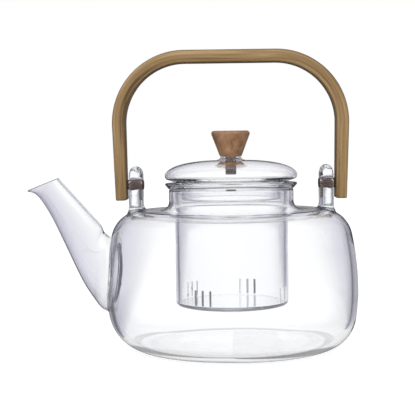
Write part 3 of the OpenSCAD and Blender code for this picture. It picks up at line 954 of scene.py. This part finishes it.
# How much a direction above the middle counts, against one beside it
RISE_THROUGH = 0.35
RISE_REFLECTED = 3.0
# The studio falls off sooner on the left
LEFT_SHARE = 1.2
SURROUND_TINT = (0.84, 0.83, 1.0)
# The floor is as bright as the backdrop's middle in a strip this wide to each side. The strip
# begins under the object's middle, and in reflections this far in front of it
STRIP_HALF = 0.082
FRONT_EDGE = 0.09
# The shade under the foot, seen through the glass: (radius, how dark), its share at the back, the
# depth over which it grows to its full darkness in front, and the radius that its ramp ends at
FOOT_SHADE = [(0, 0), (0.0525, 0), (0.0535, 0.74), (0.0595, 0.74), (0.061, 0)]
BACK_SHADE = 0.45
SHADE_BLEND = 0.05
FOOT_REACH = 0.1
# How much the floor that the camera sees glows by itself, and how bright a matt white it is
FLOOR_GLOW = 0.78
FLOOR_MATT = 0.42
# The floor's half width, and how many cells it has along a side
FLOOR_HALF = 3
FLOOR_CELLS = 8
# The level light from all around that falls on matt faces
SOFT_LIGHT = 0.7


def tinted(value):
    """A grey of the studio: its middle greys are slightly violet, its dark and its white aren't."""
    middle = 4 * value * max(0.0, 1 - value)
    return tuple(value * (1 - (1 - part) * middle) for part in SURROUND_TINT)


def studio_colour(nodes, links, side, ahead, stops):
    """The studio's colour in a direction, from its parts beside and towards the backdrop."""
    turn = math_node(nodes, links, "ARCTAN2", side, ahead)
    share = math_node(nodes, links, "DIVIDE", turn, math.pi)
    colours = [(angle / 180, tinted(value)) for angle, value in stops]
    return ramp(nodes, links, share, colours, "LINEAR")


def foot_shade(nodes, links, place, ahead):
    """How dark the floor is under the foot."""
    reach = add(nodes, "ShaderNodeVectorMath", operation="LENGTH")
    links.new(place, reach.inputs[0])
    share = math_node(nodes, links, "DIVIDE", reach.outputs["Value"], FOOT_REACH)
    stops = [(radius / FOOT_REACH, grey(value)) for radius, value in FOOT_SHADE]
    ring = ramp(nodes, links, share, stops, "LINEAR")
    front = math_node(nodes, links, "DIVIDE", ahead, -SHADE_BLEND)
    front = math_node(nodes, links, "MAXIMUM", front, 0.0)
    front = math_node(nodes, links, "MINIMUM", front, 1.0)
    level = math_node(nodes, links, "MULTIPLY_ADD", front, 1 - BACK_SHADE, BACK_SHADE)
    return math_node(nodes, links, "MULTIPLY", ring, level)


def floor_material():
    """A white floor that keeps shadows, lights nothing by itself and darkens in the glass."""
    material, nodes, links = new_material("pale_floor")
    place = add(nodes, "ShaderNodeTexCoord").outputs["Object"]
    parts = add(nodes, "ShaderNodeSeparateXYZ")
    links.new(place, parts.inputs[0])
    right, ahead = parts.outputs["X"], parts.outputs["Y"]
    left = math_node(nodes, links, "MULTIPLY", right, -LEFT_SHARE)
    side = math_node(nodes, links, "MAXIMUM", right, left)
    side = math_node(nodes, links, "SUBTRACT", side, STRIP_HALF)
    side = math_node(nodes, links, "MAXIMUM", side, 0.0)
    through = studio_colour(nodes, links, side, ahead, SEEN_THROUGH)
    further = math_node(nodes, links, "ADD", ahead, FRONT_EDGE)
    mirrored = studio_colour(nodes, links, side, further, REFLECTED)
    shaded = add(nodes, "ShaderNodeVectorMath", operation="MULTIPLY")
    links.new(through, shaded.inputs[0])
    dark = foot_shade(nodes, links, place, ahead)
    links.new(math_node(nodes, links, "SUBTRACT", 1.0, dark), shaded.inputs[1])

    path = add(nodes, "ShaderNodeLightPath").outputs
    in_glass = mix_colour(nodes, links, path["Is Transmission Ray"], mirrored, shaded.outputs[0])
    plain = math_node(nodes, links, "MAXIMUM", path["Is Camera Ray"], path["Is Diffuse Ray"])
    seen = mix_colour(nodes, links, plain, in_glass, WHITE)
    first = math_node(nodes, links, "LESS_THAN", path["Diffuse Depth"], 0.5)
    level = math_node(nodes, links, "MULTIPLY_ADD", plain, FLOOR_GLOW - 1, 1.0)
    glow = add(nodes, "ShaderNodeEmission")
    links.new(math_node(nodes, links, "MULTIPLY", first, level), glow.inputs["Strength"])
    links.new(seen, glow.inputs["Color"])
    matt = add(nodes, "ShaderNodeBsdfDiffuse")
    links.new(math_node(nodes, links, "MULTIPLY", plain, FLOOR_MATT), matt.inputs["Color"])
    both = add(nodes, "ShaderNodeAddShader")
    links.new(matt.outputs[0], both.inputs[0])
    links.new(glow.outputs[0], both.inputs[1])
    show(nodes, links, both.outputs[0])
    return material


def make_floor(material):
    """The plain floor under the object."""
    bm = bmesh.new()
    bmesh.ops.create_grid(bm, x_segments=FLOOR_CELLS, y_segments=FLOOR_CELLS, size=FLOOR_HALF)
    floor = smooth_object(bm, "floor", material)


def make_world():
    """White to the camera, a studio with darker sides to the glass, and a level light to the rest."""
    world = bpy.data.worlds.new("studio")
    bpy.context.scene.world = world
    world.use_nodes = True
    nodes, links = world.node_tree.nodes, world.node_tree.links
    nodes.clear()
    direction = add(nodes, "ShaderNodeTexCoord")
    parts = add(nodes, "ShaderNodeSeparateXYZ")
    links.new(direction.outputs["Generated"], parts.inputs[0])
    left = math_node(nodes, links, "MINIMUM", parts.outputs["X"], 0.0)
    across = math_node(nodes, links, "MULTIPLY_ADD", left, LEFT_SHARE - 1, parts.outputs["X"])

    def studio_side(rise_share, stops):
        """The studio's colour in this direction, with its height counted by a share."""
        rise = math_node(nodes, links, "MULTIPLY", parts.outputs["Z"], rise_share)
        beside = add(nodes, "ShaderNodeCombineXYZ")
        links.new(across, beside.inputs["X"])
        links.new(rise, beside.inputs["Y"])
        away = add(nodes, "ShaderNodeVectorMath", operation="LENGTH")
        links.new(beside.outputs[0], away.inputs[0])
        return studio_colour(nodes, links, away.outputs["Value"], parts.outputs["Y"], stops)

    path = add(nodes, "ShaderNodeLightPath").outputs
    studio = mix_colour(nodes, links, path["Is Transmission Ray"],
                        studio_side(RISE_REFLECTED, REFLECTED),
                        studio_side(RISE_THROUGH, SEEN_THROUGH))
    seen = mix_colour(nodes, links, path["Is Camera Ray"], studio, WHITE)
    lit = math_node(nodes, links, "GREATER_THAN", path["Diffuse Depth"], 0.5)
    sky = add(nodes, "ShaderNodeBackground")
    links.new(mix_colour(nodes, links, lit, seen, (*grey(SOFT_LIGHT), 1)), sky.inputs["Color"])
    out = add(nodes, "ShaderNodeOutputWorld")
    links.new(sky.outputs[0], out.inputs["Surface"])


# ---------------------------------------------------------------- the scene

# Light passes many faces of glass
GLASS_BOUNCES = 32
GLOSSY_BOUNCES = 8


def place(obj, body, slot, *nodes):
    """obj stands for these CAD nodes and moves with the body. The slot is not used."""
    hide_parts(*nodes)
    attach(obj, body)


make_camera()
blown_glass = glass_material("blown_glass", BLOWN_WAVES)
worked_glass = glass_material("worked_glass", WORKED_WAVES)
# Glass painted darker for the spout's lip: painted shade
lip_shaded_glass = glass_material("lip_shaded_glass", BLOWN_WAVES, LIP_SHADE_CLEARNESS)
# Matt slit faces, painted grey as painted shade
ground_glass_shaded = ground_glass_shaded_material()
bamboo = bamboo_material()
knob_wood = wood_material(
    "knob_wood", dark=(0.23, 0.115, 0.056), light=(0.46, 0.265, 0.15), fleck=(0.15, 0.07, 0.035),
    stretch=(260.0, 260.0, 160.0), roughness=0.6, strength=0.25)
pin_wood = wood_material(
    "pin_wood", dark=(0.035, 0.013, 0.004), light=(0.12, 0.052, 0.018), fleck=(0.02, 0.008, 0.003),
    stretch=(60.0, 500.0, 500.0), roughness=0.55, strength=0.3)
silicone = wood_material(
    "silicone", dark=(0.12, 0.085, 0.068), light=(0.19, 0.14, 0.115), fleck=(0.09, 0.065, 0.05),
    stretch=(300.0, 300.0, 300.0), roughness=0.4, strength=0.1)

place(pot_body(blown_glass), "pot", "glass", "pot_shell")
place(spout_tube(blown_glass, lip_shaded_glass), "pot", "glass", "spout")
place(ear_loop("ear_loop_left", -1, worked_glass), "pot", "glass", "ear_left")
place(ear_loop("ear_loop_right", 1, worked_glass), "pot", "glass", "ear_right")
place(infuser_cup(blown_glass, ground_glass_shaded), "infuser", "glass", "infuser")
place(lid_dome(blown_glass), "lid", "glass", "lid_glass")
place(knob_turned(knob_wood), "lid", "knob_wood", "lid_knob")
place(plug_ringed(silicone), "lid", "silicone", "knob_plug")
place(bow_strip(bamboo), "handle", "bamboo", "handle_bow")
place(pin_peg("pin_peg_left", -1, pin_wood), "handle", "pin_wood", "pin_left")
place(pin_peg("pin_peg_right", 1, pin_wood), "handle", "pin_wood", "pin_right")

make_floor(floor_material())
make_world()
area_lamp("key", place=(0.05, -1.3, 0.5), target=(0, 0, 0.08), size=(1.2, 0.8), power=13)
area_lamp("top", place=(0.1, 0.2, 1.3), target=(0, 0, 0.05), size=(0.9, 0.9), power=1.5)

scene = bpy.context.scene
scene.view_settings.view_transform = "Standard"
scene.cycles.max_bounces = GLASS_BOUNCES
scene.cycles.transmission_bounces = GLASS_BOUNCES
scene.cycles.glossy_bounces = GLOSSY_BOUNCES
